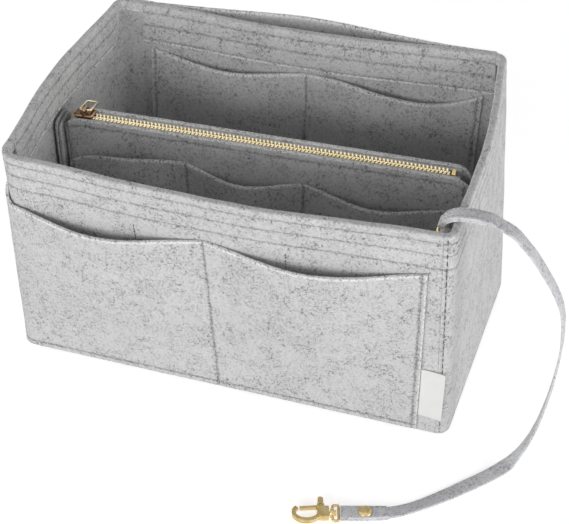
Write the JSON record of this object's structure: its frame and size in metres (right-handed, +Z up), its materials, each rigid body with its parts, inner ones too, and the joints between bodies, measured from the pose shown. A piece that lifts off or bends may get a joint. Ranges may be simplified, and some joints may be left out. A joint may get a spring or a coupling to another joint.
{
  "type": "purse organizer insert",
  "caption": "Open felt box insert for a handbag, with sewn pockets inside and out, a lift-out zip pouch across the middle and a felt key strap with swivel clasp.",
  "frame": {"origin": "on the floor under the middle of the box", "axes": "+X along the box to the right of someone facing the front pockets, +Y to the back, +Z up"},
  "size_m": [0.3612, 0.2863, 0.1866],
  "materials": {
    "felt": "needled grey felt with darker and lighter fibre flecks, cut edges left raw",
    "fastening_felt": "felt tab faced with hook and loop tape",
    "label_cloth": "white satin label cloth, blank",
    "zip_tape": "grey woven zip tape",
    "zip_metal": "gold toned zip metal, darker on the slider",
    "gold_hardware": "light gold plated metal, polished"
  },
  "bodies": {
    "root": {"front_panel": "felt", "back_panel": "felt", "left_side_panel": "felt", "right_side_panel": "felt", "bottom_panel": "felt", "rear_slip_pocket": "felt", "front_outer_pocket": "felt", "front_inner_pocket": "felt", "back_inner_pocket": "felt", "side_label": "label_cloth", "wall_tab_left": "fastening_felt", "wall_tab_right": "fastening_felt", "ring_loop": "felt", "strap_ring": "gold_hardware", "key_strap": "felt", "strap_rivet": "gold_hardware", "clasp_eye": "gold_hardware"},
    "pouch": {"pouch_front_panel": "felt", "pouch_rear_panel": "felt", "pouch_front_pocket": "felt", "pouch_tab_left": "fastening_felt", "pouch_tab_right": "fastening_felt", "zip_tape_front": "zip_tape", "zip_tape_rear": "zip_tape", "zip_teeth_front": "zip_metal", "zip_teeth_rear": "zip_metal", "zip_top_stop_front": "zip_metal", "zip_top_stop_rear": "zip_metal", "zip_bottom_stop": "zip_metal"},
    "slider": {"zip_slider": "zip_metal"},
    "pull": {"zip_pull": "zip_metal"},
    "clasp": {"clasp_body": "gold_hardware", "clasp_gate_pin": "gold_hardware"},
    "gate": {"clasp_gate": "gold_hardware"}
  },
  "joints": [
    {"name": "pouch_lift", "type": "slide", "parent": "root", "child": "pouch", "axis": [0, 0, 1], "range_m": [0, 0.2]},
    {"name": "zip_slide", "type": "slide", "parent": "pouch", "child": "slider", "axis": [0.9993, 0.0384, 0], "range_m": [0, 0.2354]},
    {"name": "pull_hinge", "type": "hinge", "parent": "slider", "child": "pull", "pos_m": [-0.12341, -0.00667, 0.1541], "axis": [0.9993, 0.0384, 0], "range_deg": [0, 198]},
    {"name": "clasp_swivel", "type": "hinge", "parent": "root", "child": "clasp", "pos_m": [0.0972, -0.1632, 0.0036], "axis": [-0.9588, -0.284, 0], "continuous": true},
    {"name": "gate_hinge", "type": "hinge", "parent": "clasp", "child": "gate", "pos_m": [0.0842, -0.16225, 0.0036], "axis": [0, 0, 1], "range_deg": [0, 24], "stiffness_Nm_per_rad": 0.003}
  ]
}
